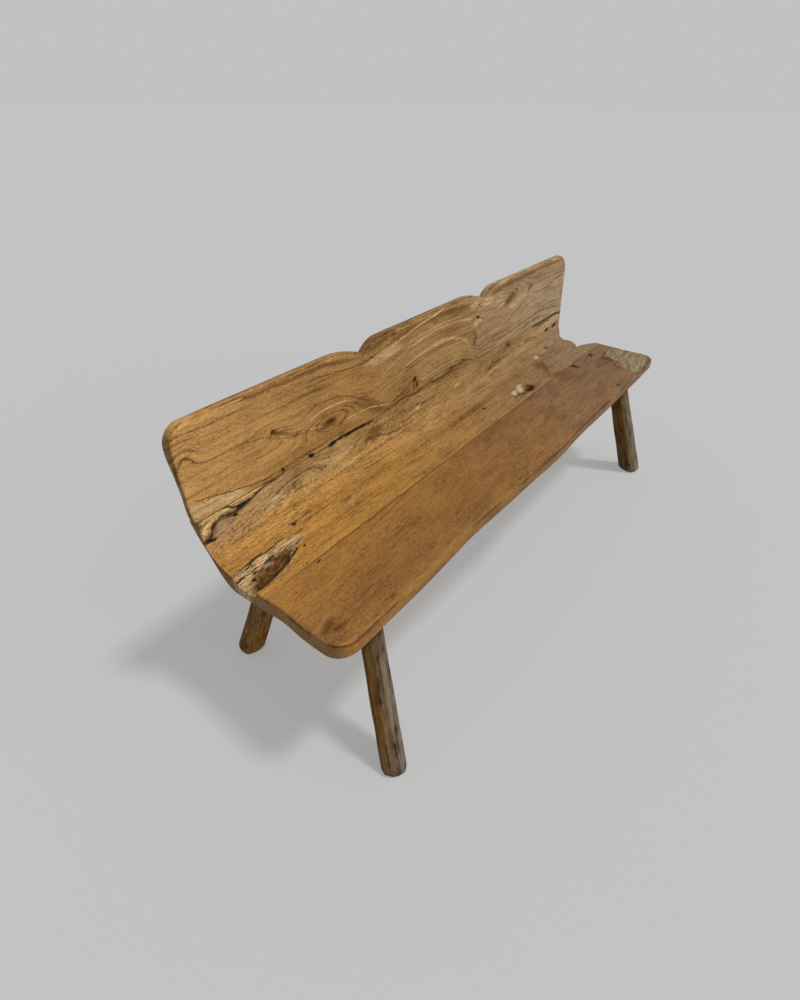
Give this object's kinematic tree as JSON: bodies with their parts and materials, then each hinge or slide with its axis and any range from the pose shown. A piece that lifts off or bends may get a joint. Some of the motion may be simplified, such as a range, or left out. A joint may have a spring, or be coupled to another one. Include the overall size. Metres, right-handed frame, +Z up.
{
  "type": "bench",
  "caption": "rustic hardwood bench: thick joined boards scooped from seat into a low scalloped back, on splayed round pole legs",
  "frame": {"origin": "on the floor, under the middle of the whole bench's bounding box", "axes": "+X runs along the bench to the end on the right of a person standing in front of it, +Y from the front edge towards the back, +Z up"},
  "size_m": [1.694, 0.5654, 0.7175],
  "materials": {
    "seat_front_teak": "waxed, reddish brown, fine open pores",
    "seat_rear_teak": "waxed, orange brown, straight grain, weathered hollow",
    "lower_back_teak": "waxed, olive sapwood with knots and cracks",
    "upper_back_teak": "waxed, golden brown, bold oval figures",
    "leg_teak": "hand shaved, dry, greying towards the foot",
    "wedge_wood": "split, dry",
    "dowel_wood": "plain, dry"
  },
  "bodies": {
    "root": {"front_seat_board": "seat_front_teak", "rear_seat_board": "seat_rear_teak", "lower_back_board": "lower_back_teak", "upper_back_board": "upper_back_teak", "front_left_leg": "leg_teak", "front_right_leg": "leg_teak", "rear_left_leg": "leg_teak", "rear_right_leg": "leg_teak", "front_left_wedge": "wedge_wood", "front_right_wedge": "wedge_wood", "rear_left_wedge": "wedge_wood", "rear_right_wedge": "wedge_wood", "seat_dowel_1": "dowel_wood", "seat_dowel_2": "dowel_wood", "seat_dowel_3": "dowel_wood", "seat_dowel_4": "dowel_wood", "seat_dowel_5": "dowel_wood", "bend_dowel_1": "dowel_wood", "bend_dowel_2": "dowel_wood", "bend_dowel_3": "dowel_wood", "bend_dowel_4": "dowel_wood", "bend_dowel_5": "dowel_wood", "bend_dowel_6": "dowel_wood", "back_dowel_1": "dowel_wood", "back_dowel_2": "dowel_wood", "back_dowel_3": "dowel_wood", "back_dowel_4": "dowel_wood", "back_dowel_5": "dowel_wood"}
  },
  "joints": []
}
